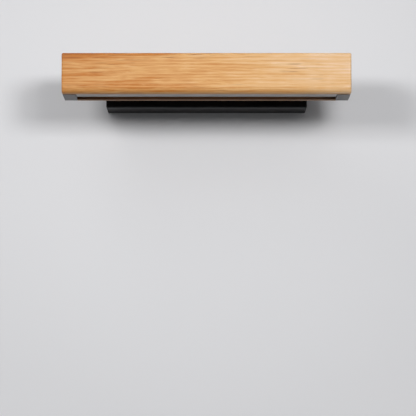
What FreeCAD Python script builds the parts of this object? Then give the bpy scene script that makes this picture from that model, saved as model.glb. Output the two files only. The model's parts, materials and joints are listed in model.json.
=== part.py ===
"""Bicycle wall rack: an oak cradle for a bicycle's top tube, carried on a black steel wall bracket.

Millimetres. X runs along the beam, +Y points into the wall and +Z up. The origin is the middle of the
four wall screw holes, on the wall face, so the whole rack lies at y <= 0. The front of a piece is the
side nearer the room, and its back is the side nearer the wall.
"""
import FreeCAD, Part
import os
import Sketcher

SIZES = {
    # the oak beam
    "beam_length": 450,
    "beam_tall": 63,
    "beam_deep": 108,
    "beam_front": 241,
    "beam_low": -46,
    "board_thick": 17,
    "front_low_round": 10,
    "front_high_round": 3,
    "board_edge_round": 1.5,
    "board_end_round": 2.5,
    # the metal cheeks that close the beam's ends, each with the notch that the tube lies in
    "cheek_wide": 20,
    "cheek_inset": 0.5,
    "cheek_round": 1.5,
    "groove_deep": 9.5,
    "groove_tall": 9,
    "notch_middle": 187,
    "notch_height": 0,
    "notch_radius": 26,
    "saddle_thick": 3,
    "lug_wide": 18,
    "lug_thick": 10,
    "lug_low": -38,
    "lug_high": 10,
    "lug_screw_in": 9,
    "lug_screw_low": -28,
    "lug_screw_high": 0,
    # the key tray behind the front board
    "tray_deep": 37,
    "tray_gap": 1.5,
    "tray_recess": 0.5,
    "sheet_thick": 2,
    "tray_lip_tall": 12,
    "tray_flange_tall": 26,
    "tray_flange_half": 180,
    "tray_screw_low": -30,
    "tray_screw_pitch": 100,
    "mat_thick": 2,
    "mat_gap": 1,
    # the folded steel wall bracket
    "bracket_length": 322,
    "bracket_deep": 85,
    "bracket_low": -51.5,
    "bracket_back_high": 38,
    "bracket_front_high": -2,
    "plate_thick": 3,
    "bend_radius": 4,
    "wall_hole_radius": 3.25,
    "wall_hole_half_x": 130,
    "wall_hole_half_z": 28,
    "driver_hole_radius": 7,
    # the two arms between the bracket and the beam
    "arm_web": 85,
    "arm_plate": 4,
    "arm_flange": 30,
    "arm_low": -40,
    "arm_high": -4,
    "arm_bolt_low": -31,
    "arm_bolt_high": -13,
    "arm_bolt_side": 17,
    # fasteners
    "fit_gap": 0.05,
    "bolt_radius": 3,
    "bolt_head_radius": 5.25,
    "bolt_head_tall": 3.3,
    "bolt_socket": 2.3,
    "bolt_socket_deep": 1.8,
    "beam_bolt_long": 16,
    "bracket_bolt_long": 15,
    "washer_radius": 6,
    "washer_thick": 1.2,
    "nut_corner_radius": 5.75,
    "nut_tall": 5,
    "insert_radius": 4.5,
    "insert_long": 13,
    "screw_radius": 2.25,
    "screw_head_radius": 4,
    "screw_head_tall": 2.6,
    "screw_socket": 1.8,
    "screw_socket_deep": 1.3,
    "screw_long": 22,
    "tray_screw_radius": 1.5,
    "tray_screw_head": 2.8,
    "tray_screw_head_tall": 1.8,
    "tray_screw_socket": 1.2,
    "tray_screw_socket_deep": 0.9,
    "tray_screw_long": 12,
    "head_bevel_share": 0.35,
    # how far a cut runs past the faces that it passes through
    "overcut": 1,
}

CLOSE = 0.01  # points this near each other, in mm, are at the same place
STRAIGHT = 0.99  # the part of an edge's direction that lies along an axis it runs with
LEAST_CUT = 0.001  # the least volume, in mm3, that a real cut removes
HEXAGON = 6

# How a fastener, drawn with its head up its own Z axis, is turned.
HEAD_TO_WALL = FreeCAD.Rotation(FreeCAD.Vector(1, 0, 0), -90)
HEAD_TO_ROOM = FreeCAD.Rotation(FreeCAD.Vector(1, 0, 0), 90)

# Places that several pieces share, as expressions on the sheet.
BEAM_FRONT = "-Dims.beam_front"
BEAM_BACK = BEAM_FRONT + " + Dims.beam_deep"
BEAM_TOP = "Dims.beam_low + Dims.beam_tall"
FRONT_BOARD_BACK = BEAM_FRONT + " + Dims.board_thick"
REAR_BOARD_FRONT = BEAM_BACK + " - Dims.board_thick"
FRONT_LUG_BACK = FRONT_BOARD_BACK + " + Dims.lug_thick"
REAR_LUG_FRONT = REAR_BOARD_FRONT + " - Dims.lug_thick"
CHEEK_OUTER = "Dims.beam_length / 2 - Dims.cheek_inset"
CHEEK_INNER = CHEEK_OUTER + " - Dims.cheek_wide"
CHEEK_LOW = "Dims.beam_low + Dims.cheek_inset"
TRAY_LOW = "Dims.beam_low + Dims.tray_recess"
TRAY_HALF = CHEEK_INNER + " - Dims.tray_gap"
FLANGE_BACK = FRONT_BOARD_BACK + " + Dims.sheet_thick"
BRACKET_FRONT = "-Dims.bracket_deep"
NOTCH = ("-Dims.notch_middle", "Dims.notch_height")

# The holes that take a fastener's shank, a little wider than it.
SCREW_HOLE = "Dims.screw_radius + Dims.fit_gap"
TRAY_HOLE = "Dims.tray_screw_radius + Dims.fit_gap"
BOLT_HOLE = "Dims.bolt_radius + Dims.fit_gap"
INSERT_HOLE = "Dims.insert_radius + Dims.fit_gap"


def sided(side, across):
    """An expression for a place as far to the left (side -1) or right (side 1) as across says."""
    return "%s * (%s)" % (side, across)


# Where fasteners go, as (x, z) seen from the room.
LUG_X = CHEEK_INNER + " - Dims.lug_screw_in"
LUG_HEIGHTS = ("Dims.lug_screw_low", "Dims.lug_screw_high")
ARM_BOLT_HEIGHTS = ("Dims.arm_bolt_low", "Dims.arm_bolt_high")
HOLE_HEIGHTS = ("-Dims.wall_hole_half_z", "Dims.wall_hole_half_z")
TRAY_SCREW_STEPS = (-1.5, -0.5, 0.5, 1.5)


def lug_spots(side):
    return [(sided(side, LUG_X), up) for up in LUG_HEIGHTS]


def arm_spots(side):
    return [(sided(side, "Dims.arm_web + Dims.arm_bolt_side"), up) for up in ARM_BOLT_HEIGHTS]


LUG_SPOTS = lug_spots(-1) + lug_spots(1)
ARM_SPOTS = arm_spots(-1) + arm_spots(1)
TRAY_SPOTS = [(sided(step, "Dims.tray_screw_pitch"), "Dims.tray_screw_low") for step in TRAY_SCREW_STEPS]
WALL_SPOTS = [(sided(side, "Dims.wall_hole_half_x"), up) for side in (-1, 1) for up in HOLE_HEIGHTS]
DRIVER_SPOTS = [spot for spot in WALL_SPOTS if spot[1] == HOLE_HEIGHTS[0]]

doc = FreeCAD.newDocument("bicycle_wall_rack")
sheet = doc.addObject("Spreadsheet::Sheet", "Dims")
worked = doc.addObject("Spreadsheet::Sheet", "Worked")
sub_parts = []


def fill_sheet():
    """One row per driving dimension: its name in column A and its value, which has the alias, in B."""
    for row, (alias, value) in enumerate(SIZES.items(), start=1):
        sheet.set("A%d" % row, alias)
        sheet.set("B%d" % row, str(value))
        sheet.setAlias("B%d" % row, alias)
    doc.recompute()


def value_of(expression):
    """The number that an expression comes to, for drawing a sketch near its final shape."""
    worked.set("A1", "=" + expression)
    worked.recompute()
    return float(worked.get("A1"))


def bind(thing, **sizes):
    """Binds properties to expressions. A double underscore stands for the dot of a nested property."""
    for name, expression in sizes.items():
        thing.setExpression(name.replace("__", "."), expression)


def keep(thing, label):
    """Marks a finished piece as a sub-part, named by its label."""
    thing.Label = label
    sub_parts.append(thing)
    return thing


# ---- sketches and features of the solid bodies ----


def new_body(label):
    return keep(doc.addObject("PartDesign::Body", label), label)


def new_sketch(body, name, role, offset):
    """An empty sketch on one of the body's own origin planes, moved along the plane's normal."""
    sketch = body.newObject("Sketcher::SketchObject", name)
    plane = [feature for feature in body.Origin.OriginFeatures if feature.Role == role]
    sketch.AttachmentSupport = [(plane[0], "")]
    sketch.MapMode = "FlatFace"
    sketch.setExpression("AttachmentOffset.Base.z", offset)
    return sketch


def at_depth(y):
    """The offset that puts a sketch on the XZ plane, whose normal points to -Y, at a given y."""
    return "-(%s)" % y


def pin(sketch, geometry, vertex, place):
    """Holds a point of the sketch at a place given by two expressions."""
    for kind, expression in zip(("DistanceX", "DistanceY"), place):
        at = sketch.addConstraint(Sketcher.Constraint(kind, -1, 1, geometry, vertex, 1.0))
        sketch.setExpression("Constraints[%d]" % at, expression)


def outline(body, name, role, corners, offset="0"):
    """A closed outline of straight lines through corners, each a pair of expressions."""
    sketch = new_sketch(body, name, role, offset)
    count = len(corners)
    rough = [FreeCAD.Vector(value_of(across), value_of(up), 0) for across, up in corners]
    lines = [Part.LineSegment(rough[i], rough[(i + 1) % count]) for i in range(count)]
    sketch.addGeometry(lines, False)
    for i in range(count):
        sketch.addConstraint(Sketcher.Constraint("Coincident", i, 2, (i + 1) % count, 1))
        pin(sketch, i, 1, corners[i])
    return sketch


def rectangle(body, name, role, low, high, offset="0"):
    corners = [low, (high[0], low[1]), high, (low[0], high[1])]
    return outline(body, name, role, corners, offset)


def circles(body, name, role, centres, radius, offset="0"):
    """Full circles of one radius."""
    sketch = new_sketch(body, name, role, offset)
    for index, (across, up) in enumerate(centres):
        middle = FreeCAD.Vector(value_of(across), value_of(up), 0)
        sketch.addGeometry(Part.Circle(middle, FreeCAD.Vector(0, 0, 1), value_of(radius)), False)
        pin(sketch, index, 3, (across, up))
        at = sketch.addConstraint(Sketcher.Constraint("Radius", index, value_of(radius)))
        sketch.setExpression("Constraints[%d]" % at, radius)
    return sketch


def pad(body, name, sketch, length):
    """Pads a sketch by half of the length to each side."""
    feature = body.newObject("PartDesign::Pad", name)
    feature.Profile = sketch
    feature.SideType = "Symmetric"
    bind(feature, Length=length)
    doc.recompute()


def pocket(body, name, sketch, length):
    """Cuts a sketch into the body by half of the length to each side, and stops if nothing was removed."""
    before = body.Shape.Volume
    feature = body.newObject("PartDesign::Pocket", name)
    feature.Profile = sketch
    feature.SideType = "Symmetric"
    bind(feature, Length=length)
    doc.recompute()
    if body.Shape.Volume > before - LEAST_CUT:
        raise RuntimeError(name + " cuts nothing")


def holes_through(body, name, spots, radius, front, thick):
    """Round holes along Y through a plate whose front face and thickness are given."""
    middle = "%s + %s / 2" % (front, thick)
    sketch = circles(body, name + "_spots", "XZ_Plane", spots, radius, at_depth(middle))
    pocket(body, name, sketch, thick + " + Dims.overcut")


def blind_holes(body, name, spots, radius, face, depth):
    """Round holes along Y that start at a face and end inside the piece."""
    sketch = circles(body, name + "_spots", "XZ_Plane", spots, radius, at_depth(face))
    pocket(body, name, sketch, "2 * (%s + Dims.fit_gap)" % depth)


def edges_along(body, axis, **place):
    """Names of the straight edges that run along an axis and whose middle point is at a place."""
    names = []
    for number, edge in enumerate(body.Shape.Edges, start=1):
        if edge.Curve.TypeId != "Part::GeomLine":
            continue
        start, end = edge.Vertexes[0].Point, edge.Vertexes[-1].Point
        middle, direction = (start + end) * 0.5, (end - start).normalize()
        at_place = all(abs(getattr(middle, name) - value_of(at)) < CLOSE for name, at in place.items())
        if at_place and abs(getattr(direction, axis)) > STRAIGHT:
            names.append("Edge%d" % number)
    return names


def fillet(body, name, names, radius):
    """Rounds the named edges, and stops if there are none or the round can't be made."""
    if not names:
        raise RuntimeError(name + " finds no edge")
    base = body.Tip
    feature = body.newObject("PartDesign::Fillet", name)
    feature.Base = (base, names)
    bind(feature, Radius=radius)
    doc.recompute()
    if "Invalid" in feature.State:
        raise RuntimeError(name + " fails")


# ---- the beam ----


def front_board():
    """The oak board that faces the room, with a generous round along its lower front edge."""
    body = new_body("front_board")
    low, high = (BEAM_FRONT, "Dims.beam_low"), (FRONT_BOARD_BACK, BEAM_TOP)
    pad(body, "board", rectangle(body, "board_end", "YZ_Plane", low, high), "Dims.beam_length")
    cheek_screw_depth = "Dims.screw_long - Dims.lug_thick"
    blind_holes(body, "screw_holes", LUG_SPOTS, SCREW_HOLE, FRONT_BOARD_BACK, cheek_screw_depth)
    tray_screw_depth = "Dims.tray_screw_long - Dims.sheet_thick"
    blind_holes(body, "tray_screw_holes", TRAY_SPOTS, TRAY_HOLE, FRONT_BOARD_BACK, tray_screw_depth)
    low_edge = edges_along(body, "x", y=BEAM_FRONT, z="Dims.beam_low")
    fillet(body, "low_round", low_edge, "Dims.front_low_round")
    high_edge = edges_along(body, "x", y=BEAM_FRONT, z=BEAM_TOP)
    fillet(body, "high_round", high_edge, "Dims.front_high_round")
    fillet(body, "end_rounds", edges_along(body, "z", y=BEAM_FRONT), "Dims.board_end_round")
    back_edge = edges_along(body, "x", y=FRONT_BOARD_BACK, z=BEAM_TOP)
    fillet(body, "soft_edge", back_edge, "Dims.board_edge_round")


def rear_board():
    """The oak board between the cheeks that the arms bolt to, with blind holes for threaded inserts."""
    body = new_body("rear_board")
    low, high = (REAR_BOARD_FRONT, "Dims.beam_low"), (BEAM_BACK, BEAM_TOP)
    end = rectangle(body, "board_end", "YZ_Plane", low, high)
    pad(body, "board", end, "2 * (%s)" % CHEEK_INNER)
    blind_holes(body, "insert_holes", ARM_SPOTS, INSERT_HOLE, BEAM_BACK, "Dims.insert_long")
    cheek_screw_depth = "Dims.screw_long - Dims.lug_thick"
    blind_holes(body, "screw_holes", LUG_SPOTS, SCREW_HOLE, REAR_BOARD_FRONT, cheek_screw_depth)
    long_edges = edges_along(body, "x", y=BEAM_BACK) + edges_along(body, "x", y=REAR_BOARD_FRONT)
    fillet(body, "soft_edges", long_edges, "Dims.board_edge_round")


def cheek(label, side):
    """A grey metal end cheek: a notched wall with a lug at each end for the screws into the boards."""
    body = new_body(label)
    middle = sided(side, CHEEK_INNER + " + Dims.cheek_wide / 2")
    groove_back = FRONT_BOARD_BACK + " + Dims.groove_deep"
    groove_top = CHEEK_LOW + " + Dims.groove_tall"
    corners = [
        (groove_back, CHEEK_LOW),
        (BEAM_BACK, CHEEK_LOW),
        (BEAM_BACK, BEAM_TOP),
        (FRONT_BOARD_BACK, BEAM_TOP),
        (FRONT_BOARD_BACK, groove_top),
        (groove_back, groove_top),
    ]
    pad(body, "wall", outline(body, "wall_side", "YZ_Plane", corners, middle), "Dims.cheek_wide")
    past_both = "Dims.cheek_wide + 2 * Dims.overcut"
    floor = circles(body, "notch_floor_spot", "YZ_Plane", [NOTCH], "Dims.notch_radius", middle)
    pocket(body, "notch_floor", floor, past_both)
    low = ("-Dims.notch_middle - Dims.notch_radius", "Dims.notch_height")
    high = ("-Dims.notch_middle + Dims.notch_radius", BEAM_TOP + " + Dims.overcut")
    mouth = rectangle(body, "notch_mouth_spot", "YZ_Plane", low, high, middle)
    pocket(body, "notch_mouth", mouth, past_both)
    back_edge = edges_along(body, "z", x=sided(side, CHEEK_OUTER), y=BEAM_BACK)
    fillet(body, "soft_edge", back_edge, "Dims.cheek_round")
    lug(body, "front_lug", side, FRONT_BOARD_BACK)
    lug(body, "rear_lug", side, REAR_LUG_FRONT)


def lug(body, name, side, front):
    """The block inside a cheek that lies flat on a board, with two screw holes along Y."""
    low, high = (front, "Dims.lug_low"), (front + " + Dims.lug_thick", "Dims.lug_high")
    middle = sided(side, CHEEK_INNER + " - Dims.lug_wide / 2")
    pad(body, name, rectangle(body, name + "_end", "YZ_Plane", low, high, middle), "Dims.lug_wide")
    holes_through(body, name + "_holes", lug_spots(side), SCREW_HOLE, front, "Dims.lug_thick")


def saddle(label, side):
    """The soft felt lining pressed into a cheek's notch, a U open at the top."""
    body = new_body(label)
    middle = sided(side, CHEEK_INNER + " + Dims.cheek_wide / 2")
    floor = circles(body, "floor_end", "YZ_Plane", [NOTCH], "Dims.notch_radius", middle)
    pad(body, "floor", floor, "Dims.cheek_wide")
    low = ("-Dims.notch_middle - Dims.notch_radius", "Dims.notch_height")
    high = ("-Dims.notch_middle + Dims.notch_radius", BEAM_TOP)
    pad(body, "sides", rectangle(body, "sides_end", "YZ_Plane", low, high, middle), "Dims.cheek_wide")
    clear = "(Dims.notch_radius - Dims.saddle_thick)"
    past_both = "Dims.cheek_wide + 2 * Dims.overcut"
    hollow = circles(body, "hollow_end", "YZ_Plane", [NOTCH], clear, middle)
    pocket(body, "hollow", hollow, past_both)
    low = ("-Dims.notch_middle - " + clear, "Dims.notch_height")
    high = ("-Dims.notch_middle + " + clear, "Dims.notch_height + Dims.notch_radius + Dims.overcut")
    pocket(body, "mouth", rectangle(body, "mouth_end", "YZ_Plane", low, high, middle), past_both)


def key_tray():
    """The folded sheet tray behind the front board: a floor, a low lip, and a flange screwed to the board."""
    body = new_body("key_tray")
    back = FRONT_BOARD_BACK + " + Dims.tray_deep"
    lip_front = back + " - Dims.sheet_thick"
    whole, flange_length = "2 * (%s)" % TRAY_HALF, "2 * Dims.tray_flange_half"
    folds = (
        ("floor", FRONT_BOARD_BACK, back, "Dims.sheet_thick", whole),
        ("lip", lip_front, back, "Dims.tray_lip_tall", whole),
        ("flange", FRONT_BOARD_BACK, FLANGE_BACK, "Dims.tray_flange_tall", flange_length),
    )
    for name, fold_front, fold_back, tall, length in folds:
        low, high = (fold_front, TRAY_LOW), (fold_back, "%s + %s" % (TRAY_LOW, tall))
        pad(body, name, rectangle(body, name + "_end", "YZ_Plane", low, high), length)
    holes_through(body, "screw_holes", TRAY_SPOTS, TRAY_HOLE, FRONT_BOARD_BACK, "Dims.sheet_thick")


def tray_mat():
    """The felt mat on the key tray's floor."""
    mat = doc.addObject("Part::Box", "tray_mat")
    half = TRAY_HALF + " - Dims.mat_gap"
    bind(
        mat,
        Length="2 * (%s)" % half,
        Width="Dims.tray_deep - 2 * (Dims.sheet_thick + Dims.mat_gap)",
        Height="Dims.mat_thick",
        Placement__Base__x="-(%s)" % half,
        Placement__Base__y=FLANGE_BACK + " + Dims.mat_gap",
        Placement__Base__z=TRAY_LOW + " + Dims.sheet_thick",
    )
    keep(mat, "tray_mat")


# ---- the bracket ----


def wall_bracket():
    """One folded and welded steel tray: a tall back plate on the wall, a floor, a front plate and ends."""
    body = new_body("wall_bracket")
    low, high = (BRACKET_FRONT, "Dims.bracket_low"), ("0", "Dims.bracket_front_high")
    pad(body, "block", rectangle(body, "block_end", "YZ_Plane", low, high), "Dims.bracket_length")
    low, high = ("-Dims.plate_thick", "Dims.bracket_low"), ("0", "Dims.bracket_back_high")
    pad(body, "back", rectangle(body, "back_end", "YZ_Plane", low, high), "Dims.bracket_length")
    front_bend = edges_along(body, "x", y=BRACKET_FRONT, z="Dims.bracket_low")
    fillet(body, "front_bend", front_bend, "Dims.bend_radius")
    end_bends = edges_along(body, "z", y=BRACKET_FRONT) + edges_along(body, "y", z="Dims.bracket_low")
    fillet(body, "end_bends", end_bends, "Dims.bend_radius / 2")
    corners = edges_along(body, "y", z="Dims.bracket_back_high")
    fillet(body, "back_corners", corners, "2 * Dims.bend_radius")
    low = (BRACKET_FRONT + " + Dims.plate_thick", "Dims.bracket_low + Dims.plate_thick")
    high = ("-Dims.plate_thick", "Dims.bracket_front_high + Dims.overcut")
    inside = rectangle(body, "inside_end", "YZ_Plane", low, high)
    pocket(body, "inside", inside, "Dims.bracket_length - 2 * Dims.plate_thick")
    bracket_holes = (
        ("wall_holes", WALL_SPOTS, "Dims.wall_hole_radius", "-Dims.plate_thick"),
        ("driver_holes", DRIVER_SPOTS, "Dims.driver_hole_radius", BRACKET_FRONT),
        ("arm_bolt_holes", ARM_SPOTS, BOLT_HOLE, BRACKET_FRONT),
    )
    for name, spots, radius, face in bracket_holes:
        holes_through(body, name, spots, radius, face, "Dims.plate_thick")


def arm(label, side):
    """A C-shaped steel arm: an upright web with one flange on the bracket and one on the beam."""
    body = new_body(label)
    web = sided(side, "Dims.arm_web")
    web_far = sided(side, "Dims.arm_web + Dims.arm_plate")
    flange_end = sided(side, "Dims.arm_web + Dims.arm_flange")
    bracket_flange = BRACKET_FRONT + " - Dims.arm_plate"
    corners = [
        (web, BEAM_BACK),
        (flange_end, BEAM_BACK),
        (flange_end, BEAM_BACK + " + Dims.arm_plate"),
        (web_far, BEAM_BACK + " + Dims.arm_plate"),
        (web_far, bracket_flange),
        (flange_end, bracket_flange),
        (flange_end, BRACKET_FRONT),
        (web, BRACKET_FRONT),
    ]
    middle = "(Dims.arm_low + Dims.arm_high) / 2"
    section = outline(body, "section", "XY_Plane", corners, middle)
    pad(body, "profile", section, "Dims.arm_high - Dims.arm_low")
    fillet(body, "bends", edges_along(body, "z", x=web), "Dims.bend_radius")
    fillet(body, "inner_bends", edges_along(body, "z", x=web_far), "Dims.bend_radius / 4")
    for name, face in (("beam_holes", BEAM_BACK), ("bracket_holes", bracket_flange)):
        holes_through(body, name, arm_spots(side), BOLT_HOLE, face, "Dims.arm_plate")


# ---- fasteners: one node holds a group of identical solids ----


WOOD_SCREW = {
    "head": "Dims.screw_head_radius",
    "head_tall": "Dims.screw_head_tall",
    "radius": "Dims.screw_radius",
    "long": "Dims.screw_long",
    "socket": "Dims.screw_socket",
    "socket_deep": "Dims.screw_socket_deep",
}
TRAY_SCREW = {
    "head": "Dims.tray_screw_head",
    "head_tall": "Dims.tray_screw_head_tall",
    "radius": "Dims.tray_screw_radius",
    "long": "Dims.tray_screw_long",
    "socket": "Dims.tray_screw_socket",
    "socket_deep": "Dims.tray_screw_socket_deep",
}
BEAM_BOLT = {
    "head": "Dims.bolt_head_radius",
    "head_tall": "Dims.bolt_head_tall",
    "radius": "Dims.bolt_radius",
    "long": "Dims.beam_bolt_long",
    "socket": "Dims.bolt_socket",
    "socket_deep": "Dims.bolt_socket_deep",
}
BRACKET_BOLT = dict(BEAM_BOLT, long="Dims.bracket_bolt_long")
WASHER = {"outer": "Dims.washer_radius", "height": "Dims.washer_thick"}
INSERT = {"outer": "Dims.insert_radius", "height": "Dims.insert_long"}
NUT = {"outer": "Dims.nut_corner_radius", "height": "Dims.nut_tall", "corners": HEXAGON}


def cylinder(name, radius, height, low="0"):
    piece = doc.addObject("Part::Cylinder", name)
    bind(piece, Radius=radius, Height=height, Placement__Base__z=low)
    return piece


def prism(name, corners, radius, height, low="0"):
    piece = doc.addObject("Part::Prism", name)
    piece.Polygon = corners
    bind(piece, Circumradius=radius, Height=height, Placement__Base__z=low)
    return piece


def bevelled_head(name, sizes):
    """A round screw head with its top rim cut off at 45 degrees."""
    head = cylinder(name + "_head", sizes["head"], sizes["head_tall"])
    doc.recompute()
    tall, bevel = value_of(sizes["head_tall"]), value_of(sizes["head_tall"] + " * Dims.head_bevel_share")
    numbered = enumerate(head.Shape.Edges, start=1)
    rim = [number for number, edge in numbered if edge.BoundBox.ZMin > tall - CLOSE]
    soft = doc.addObject("Part::Chamfer", name + "_soft")
    soft.Base = head
    soft.Edges = [(rim[0], bevel, bevel)]
    return soft


def screw(name, sizes):
    """A round-headed screw: head above its own Z = 0, shank below, and a hexagon socket in the head."""
    whole = doc.addObject("Part::Fuse", name + "_whole")
    whole.Base = bevelled_head(name, sizes)
    whole.Tool = cylinder(name + "_shank", sizes["radius"], sizes["long"], "-(%s)" % sizes["long"])
    floor = "%s - %s" % (sizes["head_tall"], sizes["socket_deep"])
    height = sizes["socket_deep"] + " + Dims.overcut"
    done = doc.addObject("Part::Cut", name)
    done.Base = whole
    done.Tool = prism(name + "_socket", HEXAGON, sizes["socket"], height, floor)
    return done


def ring(name, sizes):
    """A washer, an insert or a nut: a disc or prism from its own Z = 0 upwards, with a bolt's hole."""
    outer, height = sizes["outer"], sizes["height"]
    if "corners" in sizes:
        blank = prism(name + "_blank", sizes["corners"], outer, height)
    else:
        blank = cylinder(name + "_blank", outer, height)
    done = doc.addObject("Part::Cut", name)
    done.Base = blank
    done.Tool = cylinder(name + "_bore", BOLT_HOLE, height + " + 2 * Dims.overcut", "-Dims.overcut")
    return done


def group(label, make, sizes, spots, depth, turn=HEAD_TO_WALL):
    """Copies of one fastener, one at each spot and all at one depth, as one sub-part."""
    pieces = []
    for number, (across, up) in enumerate(spots, start=1):
        piece = make("%s_%d" % (label, number), sizes)
        piece.Placement = FreeCAD.Placement(FreeCAD.Vector(), turn)
        bind(piece, Placement__Base__x=across, Placement__Base__y=depth, Placement__Base__z=up)
        pieces.append(piece)
    compound = doc.addObject("Part::Compound", label)
    compound.Links = pieces
    keep(compound, label)


def fasteners():
    group("front_cheek_screws", screw, WOOD_SCREW, LUG_SPOTS, FRONT_LUG_BACK)
    group("rear_cheek_screws", screw, WOOD_SCREW, LUG_SPOTS, REAR_LUG_FRONT, HEAD_TO_ROOM)
    group("tray_screws", screw, TRAY_SCREW, TRAY_SPOTS, FLANGE_BACK)
    beam_flange = BEAM_BACK + " + Dims.arm_plate"
    group("beam_bolts", screw, BEAM_BOLT, ARM_SPOTS, beam_flange + " + Dims.washer_thick")
    group("beam_washers", ring, WASHER, ARM_SPOTS, beam_flange)
    group("threaded_inserts", ring, INSERT, ARM_SPOTS, BEAM_BACK + " - Dims.insert_long")
    bracket_inside = BRACKET_FRONT + " + Dims.plate_thick"
    group("bracket_bolts", screw, BRACKET_BOLT, ARM_SPOTS, bracket_inside + " + Dims.washer_thick")
    group("bracket_washers", ring, WASHER, ARM_SPOTS, bracket_inside)
    group("bracket_nuts", ring, NUT, ARM_SPOTS, BRACKET_FRONT + " - Dims.arm_plate - Dims.nut_tall")


def check_document():
    """Stops at any failed object or unsound sub-part."""
    for thing in doc.Objects:
        if "Invalid" in thing.State or "Error" in thing.State:
            raise RuntimeError("%s failed: %s" % (thing.Name, thing.State))
    for part in sub_parts:
        if part.Shape.isNull() or not part.Shape.isValid():
            raise RuntimeError(part.Label + " has no sound shape")


def export():
    os.makedirs("parts", exist_ok=True)
    for part in sub_parts:
        part.Shape.exportStep("parts/%s.step" % part.Label)
        print("%-20s %2d solids %10.0f mm3" % (part.Label, len(part.Shape.Solids), part.Shape.Volume))


fill_sheet()
front_board()
rear_board()
cheek("left_cheek", -1)
cheek("right_cheek", 1)
saddle("left_saddle", -1)
saddle("right_saddle", 1)
key_tray()
tray_mat()
wall_bracket()
arm("left_arm", -1)
arm("right_arm", 1)
fasteners()
doc.recompute()
check_document()
export()
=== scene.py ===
"""Bicycle wall rack: materials, felt pieces, wall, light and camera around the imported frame.

Metres. X runs along the beam, +Y points into the wall and +Z up, with the wall's face at y = 0.
"""
import json
import math

import bmesh
import bpy
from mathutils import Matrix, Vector, noise


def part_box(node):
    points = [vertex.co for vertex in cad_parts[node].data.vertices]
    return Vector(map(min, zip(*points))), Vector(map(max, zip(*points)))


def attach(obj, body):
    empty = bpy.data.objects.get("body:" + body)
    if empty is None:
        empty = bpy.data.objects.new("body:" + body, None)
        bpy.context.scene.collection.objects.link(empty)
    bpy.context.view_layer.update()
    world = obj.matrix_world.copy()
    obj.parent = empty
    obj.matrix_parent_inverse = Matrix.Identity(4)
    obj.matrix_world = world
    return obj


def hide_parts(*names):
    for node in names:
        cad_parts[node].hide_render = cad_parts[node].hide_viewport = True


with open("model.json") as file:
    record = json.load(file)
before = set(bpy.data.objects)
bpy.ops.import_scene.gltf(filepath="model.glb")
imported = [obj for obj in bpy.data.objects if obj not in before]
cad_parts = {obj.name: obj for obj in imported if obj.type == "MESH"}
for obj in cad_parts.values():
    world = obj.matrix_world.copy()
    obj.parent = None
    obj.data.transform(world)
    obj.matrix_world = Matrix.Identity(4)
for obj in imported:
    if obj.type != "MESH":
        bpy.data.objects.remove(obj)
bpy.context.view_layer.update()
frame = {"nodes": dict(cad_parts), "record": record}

MM = 0.001

# ---- sizes of the felt ----

FELT_THICK = 3 * MM
FELT_ROUND = 0.9 * MM  # the corners of a saddle strip's section
FELT_GAP = 0.08 * MM  # between a saddle and the metal round it
FELT_FUZZ = 0.12 * MM  # how far a felt surface rises and falls
SADDLE_LUMPS = 900  # per metre
MAT_LUMPS = 160  # per metre
MAT_CORNER = 3 * MM
MAT_EDGE = 0.7 * MM

# how many pieces each of these is cut into
STRIP_CORNER, STRIP_FACE = 5, 10
NOTCH_SIDE, NOTCH_FLOOR = 12, 48
MAT_OUTLINE_CORNER, MAT_EDGE_CUTS = 6, 3
MAT_LONG, MAT_SHORT = 130, 10

# ---- values of the room, lights and camera ----

ROOM_SIZE = 12.0
ROOM_HALF = ROOM_SIZE / 2
FLOOR_HEIGHT = -1.4
WALL_BEHIND = 0.2 * MM  # how far the wall stands behind the back plate
AGAINST_WALL = 6 * MM  # how near the wall a ray starts that passes through it
WALL_COLOUR = (0.715, 0.715, 0.73)
FLOOR_COLOUR = (0.20, 0.20, 0.20)  # kept low, so that little light comes up from below

# what the camera sees in place of the wall and floor, from near to far distances from the rack
BACKDROP_COLOUR = (0.70, 0.70, 0.715)
BACKDROP_NEAR = 0.55
BACKDROP_FAR = 1.2

# the background's colour, and its strength as light on the rack and as seen
WORLD_COLOUR = (0.97, 0.98, 1.0)
WORLD_LIGHT = 0.32
WORLD_SEEN = 0.72

# azimuth and elevation in degrees, distance, width and height in metres, and power in watts
LIGHTS = {
    "left_key": (-25, 6.8, 3.2, (0.95, 0.45), 7.28),
    "front_fill": (8, 5.8, 3.2, (0.4, 0.42), 2.36),
    "right_key": (16, 5.6, 3.2, (0.5, 0.42), 5.94),
    "high_fill": (-30, 45, 3.3, (1.5, 1.2), 1.88),
    "back_fill": (150, 25, 3.0, (1.5, 1.5), 30),
}
LIGHT_SPREAD = math.radians(80)
LIGHT_TARGET = Vector((0, 0, -100)) * MM

SENSOR_WIDTH = 36  # in mm, as Blender's cameras take it
FRAME_PIXELS = 416
FOCAL_PIXELS = 2918
CAMERA_PLACE = Vector((2.3, -4741, -551)) * MM
CAMERA_PITCH = math.radians(4.15)
CAMERA_REACH = 100


# ---- node helpers ----

# most of a noise's values lie between these
NOISE_LOW, NOISE_HIGH = 0.3, 0.7


def add(tree, kind, inputs=None, **settings):
    """A new node. Each input is a plain value or another node's output socket."""
    made = tree.nodes.new(kind)
    for name, value in settings.items():
        setattr(made, name, value)
    for name, value in (inputs or {}).items():
        put(tree, made.inputs[name], value)
    return made


def put(tree, socket, value):
    """Links an output socket to an input, or sets the input to a plain value."""
    if isinstance(value, bpy.types.NodeSocket):
        tree.links.new(value, socket)
    else:
        socket.default_value = value


def new_material(name, base, roughness, **uniform):
    """A Principled material, with its uniform values set straight on the shader."""
    made = bpy.data.materials.new(name)
    made.use_nodes = True
    shader = made.node_tree.nodes["Principled BSDF"]
    shader.inputs["Base Color"].default_value = (*base, 1)
    shader.inputs["Roughness"].default_value = roughness
    for key, value in uniform.items():
        shader.inputs[key.replace("_", " ")].default_value = value
    return made, made.node_tree, shader


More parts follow.
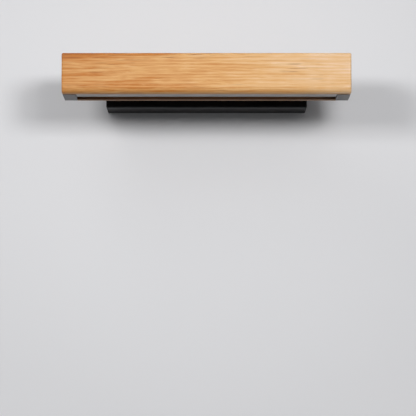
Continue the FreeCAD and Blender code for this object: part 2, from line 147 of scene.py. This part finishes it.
def place_of(tree, scale=(1, 1, 1), shift=(0, 0, 0)):
    """The place on the object in metres, stretched by a scale along each axis."""
    place = add(tree, "ShaderNodeTexCoord").outputs["Object"]
    mapping = add(tree, "ShaderNodeMapping", {"Vector": place, "Scale": scale, "Location": shift})
    return mapping.outputs["Vector"]


def speckle(tree, scale, detail=2.0, roughness=0.5, distortion=0.0, shift=(0, 0, 0)):
    """Noise from 0 to 1 whose grain is 1 / scale metres along each axis."""
    inputs = {
        "Vector": place_of(tree, scale, shift),
        "Scale": 1.0,
        "Detail": detail,
        "Roughness": roughness,
        "Distortion": distortion,
    }
    return add(tree, "ShaderNodeTexNoise", inputs).outputs["Fac"]


def even_speckle(tree, scale, detail, roughness=0.5, distortion=0.0):
    """Noise from 0 to 1 with the same grain along every axis."""
    return speckle(tree, (scale, scale, scale), detail, roughness, distortion)


def maths(tree, operation, first, second=0.0):
    """One arithmetic step on two values."""
    made = add(tree, "ShaderNodeMath", operation=operation)
    put(tree, made.inputs[0], first)
    put(tree, made.inputs[1], second)
    return made.outputs[0]


def between(tree, value, low, high, to_low=0.0, to_high=1.0):
    """Maps a value from one range to another, and holds it there."""
    inputs = {"Value": value, "From Min": low, "From Max": high, "To Min": to_low, "To Max": to_high}
    return add(tree, "ShaderNodeMapRange", inputs).outputs["Result"]


def spread_over(tree, noise_value, to_low, to_high):
    """Maps the range in which most of a noise's values lie to another range."""
    return between(tree, noise_value, NOISE_LOW, NOISE_HIGH, to_low, to_high)


def blend(tree, factor, first, second, kind="MIX"):
    """Two colours mixed. Sockets 6 and 7 of the mix node are its two colours, and output 2 the result."""
    made = add(tree, "ShaderNodeMix", data_type="RGBA", blend_type=kind)
    put(tree, made.inputs["Factor"], factor)
    put(tree, made.inputs[6], first)
    put(tree, made.inputs[7], second)
    return made.outputs[2]


def ramp(tree, value, stops):
    """A colour ramp through (position, colour) stops."""
    made = add(tree, "ShaderNodeValToRGB", {"Fac": value})
    elements = made.color_ramp.elements
    while len(elements) < len(stops):
        elements.new(1.0)
    for element, (position, colour) in zip(elements, stops):
        element.position = position
        element.color = (*colour, 1)
    return made.outputs["Color"]


def bump(tree, height, distance, strength, normal=None):
    """The normal of a surface raised by a height from 0 to 1, on top of another normal."""
    inputs = {"Height": height, "Distance": distance, "Strength": strength}
    if normal:
        inputs["Normal"] = normal
    return add(tree, "ShaderNodeBump", inputs).outputs["Normal"]


def soft_edges(tree, radius):
    """The normal that rounds off sharp edges by a small radius."""
    return add(tree, "ShaderNodeBevel", {"Radius": radius}, samples=6).outputs["Normal"]


def mix_shaders(tree, share, first, second):
    """The second shader by its share, and the first for the rest."""
    both = add(tree, "ShaderNodeMixShader")
    put(tree, both.inputs[0], share)
    put(tree, both.inputs[1], first)
    put(tree, both.inputs[2], second)
    return both.outputs["Shader"]


# ---- materials ----

OAK_DARK = (0.35, 0.100, 0.013)
OAK_RED = (0.48, 0.168, 0.028)
OAK_MIDDLE = (0.655, 0.362, 0.136)
OAK_LIGHT = (0.715, 0.462, 0.246)
OAK_PALE = (0.85, 0.66, 0.54)
OAK_PORE = (0.20, 0.070, 0.022)
OAK_STOPS = ((0.14, OAK_DARK), (0.335, OAK_RED), (0.515, OAK_MIDDLE), (0.64, OAK_LIGHT), (0.84, OAK_PALE))

# noises of the oak's grain: how fine along each axis, detail, roughness and distortion
BROAD_BANDS = ((3.0, 48, 48), 3.0, 0.55, 1.2)
WAVY_STREAKS = ((9, 120, 120), 4.0, 0.62, 2.0)
FINE_STREAKS = ((20, 380, 380), 3.0, 0.6, 1.0)
FIBRES = ((60, 1700, 1700), 3.0, 0.6, 0.3)
PORE_LINES = ((24, 620, 620), 2.0, 0.5, 0.2)
PORE_PATCHES = ((6, 60, 60), 2.0, 0.5, 0.4)

# shares of the oak's tone, and how much the pores darken it
STREAK_SHARES = ((BROAD_BANDS, 0.42), (WAVY_STREAKS, 0.20), (FINE_STREAKS, 0.38))
RINGS_SHARE = 0.06
FIBRES_SHARE = 0.14
PORES_SHARE = 0.6
PORES_DEEPER = 1.5  # how much deeper than the fibres the pores are

# noises of the metals and the felt, in the same terms, most of them as fine along every axis
PEEL = (1400, 2.0)
DUST = (25, 3.0, 0.6)
RUBBED = (160, 4.0, 0.7)
SCRATCHES = ((900, 5000, 900), 2.0, 0.6)
CLOUD = (300, 3.0, 0.6)
TANGLE = (1500, 4.0, 0.7, 1.2)
CLUMPS = (260, 3.0, 0.6, 0.5)

# shares of the felt's tone, and its darkest and palest hairs against its colour
TANGLE_SHARE, CLUMPS_SHARE = 0.6, 0.4
DARK_HAIR, PALE_HAIR = 0.62, 1.5

# the radii of soft edges, and the depths of fine relief
OAK_EDGE = 0.8 * MM
COAT_EDGE = 0.6 * MM
METAL_EDGE = 0.15 * MM
GRAIN_DEPTH = 0.12 * MM
SCRATCH_DEPTH = 0.01 * MM
FELT_DEPTH = 0.5 * MM

# each board's own piece of the grain, how much its tone changes along it (partly painted light), the
# painted shade on its front face and the tint of the rest of it. The rear board's front face looks into the
# slot behind the tray and is darkened there as painted shade; the rest of the rear board has a darker tint
# than the front board.
PLAIN = (1, 1, 1)
# a darker tint for the rest of the rear board than for the front board
REAR_TINT = (0.50, 0.46, 0.50)
# painted shade: darkens the rear board's face that looks into the slot behind the tray, where shade falls
PAINTED_SLOT_SHADE = (0.20, 0.165, 0.16)
BOARDS = {
    "front_board": ((0, 0, 0), 0.68, PLAIN, PLAIN),
    "rear_board": ((7.3, 2.1, 4.7), 0.15, PAINTED_SLOT_SHADE, REAR_TINT),
}


def oak(name, shift, tone_and_painted_light_drift, front_painted_shade, tint):
    """Oak with its grain along X: broad bands, growth rings, wavy streaks, fibres and short dark pores.

    The board is redder towards its left end and paler towards its right end, by drift: partly the wood's
    own tone and partly painted light, as if the right end were lit more brightly.
    """
    made, tree, shader = new_material(name, OAK_MIDDLE, 0.55, Specular_IOR_Level=0.25)
    fibres = speckle(tree, *FIBRES, shift)
    pores = maths(tree, "MULTIPLY", pore_lines(tree, shift), PORES_SHARE)
    plain = ramp(tree, oak_tone(tree, shift, tone_and_painted_light_drift, fibres), OAK_STOPS)
    # painted shade: the front face's tint darkens the rear board where it looks into the slot behind the
    # tray
    colour = blend(tree, 1.0, plain, tint_and_painted_shade(tree, front_painted_shade, tint), "MULTIPLY")
    put(tree, shader.inputs["Base Color"], blend(tree, pores, colour, (*OAK_PORE, 1)))
    put(tree, shader.inputs["Roughness"], spread_over(tree, fibres, 0.48, 0.62))
    grain = maths(tree, "SUBTRACT", fibres, maths(tree, "MULTIPLY", pores, PORES_DEEPER))
    rounded = soft_edges(tree, OAK_EDGE)
    put(tree, shader.inputs["Normal"], bump(tree, grain, GRAIN_DEPTH, 0.6, rounded))
    return made


def oak_tone(tree, shift, tone_and_painted_light_drift, fibres):
    """How pale the oak is at each place, from about 0 to 1: the drift along X, partly painted light, and
    then each layer.
    """
    along = add(tree, "ShaderNodeSeparateXYZ", {"Vector": place_of(tree)}).outputs["X"]
    layers = [(speckle(tree, *streaks, shift), share) for streaks, share in STREAK_SHARES]
    layers += [(growth_rings(tree, shift), RINGS_SHARE), (fibres, FIBRES_SHARE)]
    # painted light: the tone rises along X, so the board is paler towards its right end as if lit more
    # brightly there, partly the wood's own tone
    tone = maths(tree, "MULTIPLY", along, tone_and_painted_light_drift)
    for layer, share in layers:
        tone = maths(tree, "ADD", tone, maths(tree, "MULTIPLY", maths(tree, "SUBTRACT", layer, 0.5), share))
    return maths(tree, "ADD", tone, 0.5)


def growth_rings(tree, shift):
    """Rings about a line far above and behind the board, which cross its front as level lines."""
    inputs = {
        "Vector": place_of(tree, (0.05, 1, 1), (shift[0], 0.32, -0.36)),
        "Scale": 62.0,
        "Distortion": 7.0,
        "Detail": 3.0,
        "Detail Scale": 0.55,
        "Detail Roughness": 0.6,
    }
    return add(tree, "ShaderNodeTexWave", inputs, wave_type="RINGS", rings_direction="X").outputs["Fac"]


def pore_lines(tree, shift):
    """Short dark lines along the grain, gathered in patches."""
    lines = between(tree, speckle(tree, *PORE_LINES, shift), 0.60, 0.72)
    patches = between(tree, speckle(tree, *PORE_PATCHES, shift), 0.44, 0.60)
    return maths(tree, "MULTIPLY", lines, patches)


def tint_and_painted_shade(tree, front_painted_shade, tint):
    """Painted shade as a tint on the face that looks to the front (-Y), and another tint on the other
    faces; on the rear board that face looks into the shaded slot behind the tray.
    """
    normal = add(tree, "ShaderNodeTexCoord").outputs["Normal"]
    across = add(tree, "ShaderNodeSeparateXYZ", {"Vector": normal}).outputs["Y"]
    return blend(tree, between(tree, across, -0.3, -0.8), (*tint, 1), (*front_painted_shade, 1))


def powder_coat(name, base, roughness, depth, wear_and_highlight_colour, shine=0.5):
    """Powder coated steel: a fine orange-peel surface with soft edges that show a little wear and are
    lighter, partly real wear and partly a painted highlight.
    """
    made, tree, shader = new_material(name, base, roughness, Specular_IOR_Level=shine)
    peel = even_speckle(tree, *PEEL)
    dust = between(tree, even_speckle(tree, *DUST), 0.35, 0.7, 0.90, 1.10)
    tinted = blend(tree, 1.0, (*base, 1), dust, "MULTIPLY")
    rounded = soft_edges(tree, COAT_EDGE)
    # painted highlight: the lighter edge colour is partly real wear and partly a highlight painted along
    # the bends
    put(tree, shader.inputs["Base Color"], blend(tree, edge_wear_and_highlight(tree, rounded), tinted, (*wear_and_highlight_colour, 1)))
    put(tree, shader.inputs["Roughness"], spread_over(tree, peel, roughness - 0.05, roughness + 0.06))
    put(tree, shader.inputs["Normal"], bump(tree, peel, depth, 0.5, rounded))
    return made


def edge_wear_and_highlight(tree, rounded):
    """How much the edges are lightened, partly real wear and partly a painted highlight: patches along the
    edges, where the rounded normal leaves the plain one.
    """
    plain = add(tree, "ShaderNodeNewGeometry").outputs["Normal"]
    alike = add(tree, "ShaderNodeVectorMath", {0: rounded, 1: plain}, operation="DOT_PRODUCT")
    edge = between(tree, alike.outputs["Value"], 0.98, 0.86)
    rubbed = between(tree, even_speckle(tree, *RUBBED), 0.45, 0.65)
    return maths(tree, "MULTIPLY", maths(tree, "MULTIPLY", edge, rubbed), 0.5)


def turned_metal(name, base, roughness):
    """A plated or oxidised fastener metal with fine scratches."""
    made, tree, shader = new_material(name, base, roughness, Metallic=1.0)
    scratches = speckle(tree, *SCRATCHES)
    cloud = spread_over(tree, even_speckle(tree, *CLOUD), 0.82, 1.08)
    put(tree, shader.inputs["Base Color"], blend(tree, 1.0, (*base, 1), cloud, "MULTIPLY"))
    put(tree, shader.inputs["Roughness"], spread_over(tree, scratches, roughness - 0.07, roughness + 0.1))
    rounded = soft_edges(tree, METAL_EDGE)
    put(tree, shader.inputs["Normal"], bump(tree, scratches, SCRATCH_DEPTH, 0.4, rounded))
    return made


def felt(name, base):
    """Pressed wool felt: tangled short fibres, with lighter and darker hairs mixed in."""
    made, tree, shader = new_material(name, base, 0.95, Sheen_Weight=0.35, Sheen_Roughness=0.5)
    tangle = maths(tree, "MULTIPLY", even_speckle(tree, *TANGLE), TANGLE_SHARE)
    clumps = maths(tree, "MULTIPLY", even_speckle(tree, *CLUMPS), CLUMPS_SHARE)
    tone = maths(tree, "ADD", tangle, clumps)
    dark, pale = [tuple(channel * share for channel in base) for share in (DARK_HAIR, PALE_HAIR)]
    put(tree, shader.inputs["Base Color"], ramp(tree, tone, ((0.35, dark), (0.5, base), (0.66, pale))))
    put(tree, shader.inputs["Normal"], bump(tree, tone, FELT_DEPTH, 0.7))
    return made


# powder coats: colour, roughness, depth of the orange peel, colour of the edges (wear and a painted
# highlight), and gloss
COATS = {
    "grey_metal": ((0.142, 0.136, 0.135), 0.55, 0.05 * MM, (0.30, 0.30, 0.30)),
    "light_metal": ((0.40, 0.372, 0.357), 0.5, 0.04 * MM, (0.5, 0.5, 0.5)),
    "black_steel": ((0.0045, 0.0043, 0.0044), 0.55, 0.05 * MM, (0.022, 0.022, 0.022), 0.10),
}
# fastener metals: colour and roughness
METALS = {
    "black_bolt": ((0.05, 0.05, 0.052), 0.38),
    "zinc_steel": ((0.62, 0.63, 0.64), 0.3),
    "brass": ((0.78, 0.56, 0.24), 0.3),
}
MATERIALS = {name: powder_coat(name, *looks) for name, looks in COATS.items()}
MATERIALS |= {name: turned_metal(name, *looks) for name, looks in METALS.items()}
MATERIALS["grey_felt"] = felt("grey_felt", (0.16, 0.16, 0.165))

for row in frame["record"]["subparts"]:
    node, slot = row["node"], row["material_slot"]
    material = oak(node + "_oak", *BOARDS[node]) if slot == "oak" else MATERIALS[slot]
    frame["nodes"][node].data.materials.clear()
    frame["nodes"][node].data.materials.append(material)


# ---- felt pieces ----


def felt_piece(name, shape):
    """A smooth felt object from a finished bmesh."""
    bmesh.ops.recalc_face_normals(shape, faces=shape.faces)
    mesh = bpy.data.meshes.new(name)
    shape.to_mesh(mesh)
    shape.free()
    mesh.materials.append(MATERIALS["grey_felt"])
    mesh.polygons.foreach_set("use_smooth", [True] * len(mesh.polygons))
    made = bpy.data.objects.new(name, mesh)
    bpy.context.scene.collection.objects.link(made)
    return made


def rounded_corners(wide, deep, radius, steps):
    """The four corners of a rounded rectangle about the origin, each a list of points, anticlockwise."""
    corners = []
    for corner, (across, up) in enumerate(((1, 1), (-1, 1), (-1, -1), (1, -1))):
        points = []
        for step in range(steps + 1):
            turn = math.pi / 2 * (corner + step / steps)
            right = across * (wide / 2 - radius) + radius * math.cos(turn)
            above = up * (deep / 2 - radius) + radius * math.sin(turn)
            points.append((right, above))
        corners.append(points)
    return corners


def strip_section(wide, thick):
    """Points round a saddle strip's section, with more along its wide faces so that they can be uneven."""
    first, second, third, fourth = rounded_corners(wide, thick, FELT_ROUND, STRIP_CORNER)
    reach = wide / 2 - FELT_ROUND
    shares = [1 - 2 * cut / STRIP_FACE for cut in range(1, STRIP_FACE)]
    top = [(reach * share, thick / 2) for share in shares]
    bottom = [(-reach * share, -thick / 2) for share in shares]
    return first + top + second + third + bottom + fourth


def saddle_line(low, high, inset):
    """Points (y, z) and normals down one side of the notch, round its floor and up the other side."""
    middle_y, outer = (low.y + high.y) / 2, (high.y - low.y) / 2
    middle_z, radius = low.z + outer, outer - inset
    top = high.z - FELT_GAP
    line = []
    for step in range(NOTCH_SIDE):
        line.append(((middle_y - radius, top + (middle_z - top) * step / NOTCH_SIDE), (1, 0)))
    for step in range(NOTCH_FLOOR + 1):
        turn = math.pi + math.pi * step / NOTCH_FLOOR
        across, up = math.cos(turn), math.sin(turn)
        line.append(((middle_y + radius * across, middle_z + radius * up), (-across, -up)))
    for step in range(1, NOTCH_SIDE + 1):
        line.append(((middle_y + radius, middle_z + (top - middle_z) * step / NOTCH_SIDE), (-1, 0)))
    return line


def swept_strip(line, section, x):
    """A bmesh strip with that section along the line, closed at both ends and uneven on its upper face."""
    shape = bmesh.new()
    rings = []
    for (y, z), (normal_y, normal_z) in line:
        ring = []
        for across, up in section:
            lump = noise.noise(Vector((x + across, y, z)) * SADDLE_LUMPS) if up > 0 else 0
            rise = up + FELT_FUZZ * lump
            ring.append(shape.verts.new((x + across, y + normal_y * rise, z + normal_z * rise)))
        rings.append(ring)
    for ring, after in zip(rings, rings[1:]):
        for i in range(len(section)):
            k = (i + 1) % len(section)
            shape.faces.new((ring[i], ring[k], after[k], after[i]))
    shape.faces.new(rings[0])
    shape.faces.new(rings[-1])
    return shape


def felt_saddle(node):
    """A felt strip bent into the cheek's notch."""
    low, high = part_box(node)
    wide = high.x - low.x - 2 * FELT_GAP
    thick = FELT_THICK - FELT_GAP
    line = saddle_line(low, high, FELT_GAP + thick / 2)
    shape = swept_strip(line, strip_section(wide, thick), (low.x + high.x) / 2)
    piece = felt_piece(node + "_felt", shape)
    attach(piece, "root")
    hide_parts(node)


def felt_mat(node):
    """A felt mat laid in the tray: rounded corners, soft edges and a slightly uneven top."""
    low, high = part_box(node)
    piece = felt_piece(node + "_felt", mat_shape(low, high))
    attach(piece, "root")
    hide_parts(node)


def mat_shape(low, high):
    """The mat as a bmesh: a grid across it for each face, and a soft edge between them."""
    wide, deep, thick = high - low
    middle = (low + high) / 2
    shape = bmesh.new()
    outline = sum(rounded_corners(wide, deep, MAT_CORNER, MAT_OUTLINE_CORNER), [])
    ring = [shape.verts.new((middle.x + x, middle.y + y, low.z)) for x, y in outline]
    lifted = bmesh.ops.extrude_face_region(shape, geom=[shape.faces.new(ring)])
    top = [piece for piece in lifted["geom"] if isinstance(piece, bmesh.types.BMVert)]
    bmesh.ops.translate(shape, vec=(0, 0, thick), verts=top)
    rims = [edge for edge in shape.edges if abs(edge.verts[0].co.z - edge.verts[1].co.z) < thick / 10]
    bmesh.ops.bevel(shape, geom=rims, offset=MAT_EDGE, segments=MAT_EDGE_CUTS, affect="EDGES", profile=0.6)
    cut_across(shape, middle, 0, wide, MAT_LONG)
    cut_across(shape, middle, 1, deep, MAT_SHORT)
    for vert in shape.verts:
        if vert.co.z > middle.z:
            vert.co.z -= FELT_FUZZ * (0.5 + 0.5 * noise.noise(vert.co * MAT_LUMPS))
    return shape


def cut_across(shape, middle, axis, size, pieces):
    """Cuts a shape into even pieces along one axis, and keeps them all."""
    normal = Vector((0, 0, 0))
    normal[axis] = 1
    for cut in range(1, pieces):
        at = Vector(middle)
        at[axis] += size * (cut / pieces - 0.5)
        geom = shape.verts[:] + shape.edges[:] + shape.faces[:]
        bmesh.ops.bisect_plane(shape, geom=geom, plane_co=at, plane_no=normal)


for saddle in ("left_saddle", "right_saddle"):
    felt_saddle(saddle)
felt_mat("tray_mat")


# ---- wall and floor ----


def plane(name, corners, material):
    """One four-cornered face of the room, which is staging and not part of the rack."""
    mesh = bpy.data.meshes.new(name)
    mesh.from_pydata(corners, [], [(0, 1, 2, 3)])
    mesh.materials.append(material)
    made = bpy.data.objects.new(name, mesh)
    bpy.context.scene.collection.objects.link(made)


def upright(y, low, high):
    """Corners of a wall as wide as the room."""
    return [(-ROOM_HALF, y, low), (ROOM_HALF, y, low), (ROOM_HALF, y, high), (-ROOM_HALF, y, high)]


def level(z, near, far):
    """Corners of a floor as wide as the room."""
    return [(-ROOM_HALF, near, z), (ROOM_HALF, near, z), (ROOM_HALF, far, z), (-ROOM_HALF, far, z)]


def backdrop(tree, surface):
    """What the camera sees: the surface itself near the rack, and an even pale tone further away."""
    place = add(tree, "ShaderNodeNewGeometry").outputs["Position"]
    away = add(tree, "ShaderNodeVectorMath", {0: place}, operation="LENGTH").outputs["Value"]
    seen = add(tree, "ShaderNodeLightPath").outputs["Is Camera Ray"]
    share = maths(tree, "MULTIPLY", between(tree, away, BACKDROP_NEAR, BACKDROP_FAR), seen)
    tone = add(tree, "ShaderNodeEmission", {"Color": (*BACKDROP_COLOUR, 1), "Strength": 1.0})
    return mix_shaders(tree, share, surface, tone.outputs["Emission"])


def wall_paint():
    """Matt pale grey paint on the room's side, and nothing from behind or from right against the wall."""
    made, tree, shader = new_material("wall_paint", WALL_COLOUR, 0.9)
    behind = add(tree, "ShaderNodeNewGeometry").outputs["Backfacing"]
    against = maths(tree, "LESS_THAN", add(tree, "ShaderNodeLightPath").outputs["Ray Length"], AGAINST_WALL)
    hidden = maths(tree, "MAXIMUM", behind, against)
    clear = add(tree, "ShaderNodeBsdfTransparent").outputs["BSDF"]
    surface = mix_shaders(tree, hidden, backdrop(tree, shader.outputs["BSDF"]), clear)
    put(tree, tree.nodes["Material Output"].inputs["Surface"], surface)
    return made


def floor_paint():
    """Dull grey paint that the camera sees as the pale backdrop."""
    made, tree, shader = new_material("floor_paint", FLOOR_COLOUR, 0.8)
    surface = backdrop(tree, shader.outputs["BSDF"])
    put(tree, tree.nodes["Material Output"].inputs["Surface"], surface)
    return made


plane("wall", upright(WALL_BEHIND, FLOOR_HEIGHT, FLOOR_HEIGHT + ROOM_HALF), wall_paint())
plane("floor", level(FLOOR_HEIGHT, -ROOM_SIZE, ROOM_SIZE), floor_paint())


# ---- light and camera ----


def area_light(name, azimuth, elevation, distance, size, watts):
    """A soft rectangular light, placed by its direction from the rack and turned to LIGHT_TARGET."""
    turn, rise = math.radians(azimuth), math.radians(elevation)
    away = Vector((math.sin(turn) * math.cos(rise), -math.cos(turn) * math.cos(rise), math.sin(rise)))
    light = bpy.data.lights.new(name, "AREA")
    light.shape = "RECTANGLE"
    light.size, light.size_y = size
    light.energy = watts
    light.spread = LIGHT_SPREAD
    made = bpy.data.objects.new(name, light)
    made.location = away * distance
    made.rotation_mode = "QUATERNION"
    made.rotation_quaternion = (made.location - LIGHT_TARGET).to_track_quat("Z", "Y")
    bpy.context.scene.collection.objects.link(made)


def studio_world():
    """A pale background whose own light on the rack is weak."""
    world = bpy.data.worlds.new("studio")
    world.use_nodes = True
    tree = world.node_tree
    seen = add(tree, "ShaderNodeLightPath").outputs["Is Camera Ray"]
    background = tree.nodes["Background"]
    background.inputs["Color"].default_value = (*WORLD_COLOUR, 1)
    put(tree, background.inputs["Strength"], between(tree, seen, 0, 1, WORLD_LIGHT, WORLD_SEEN))
    bpy.context.scene.world = world


def studio_camera():
    """The camera, in front of the rack and below it, looking up a little."""
    camera = bpy.data.cameras.new("camera")
    camera.sensor_width = SENSOR_WIDTH
    camera.lens = SENSOR_WIDTH * FOCAL_PIXELS / FRAME_PIXELS
    camera.clip_end = CAMERA_REACH
    made = bpy.data.objects.new("camera", camera)
    made.location = CAMERA_PLACE
    made.rotation_euler = (math.pi / 2 + CAMERA_PITCH, 0, 0)
    bpy.context.scene.collection.objects.link(made)
    bpy.context.scene.camera = made


for name, looks in LIGHTS.items():
    area_light(name, *looks)
studio_world()
studio_camera()
bpy.context.scene.view_settings.view_transform = "Standard"
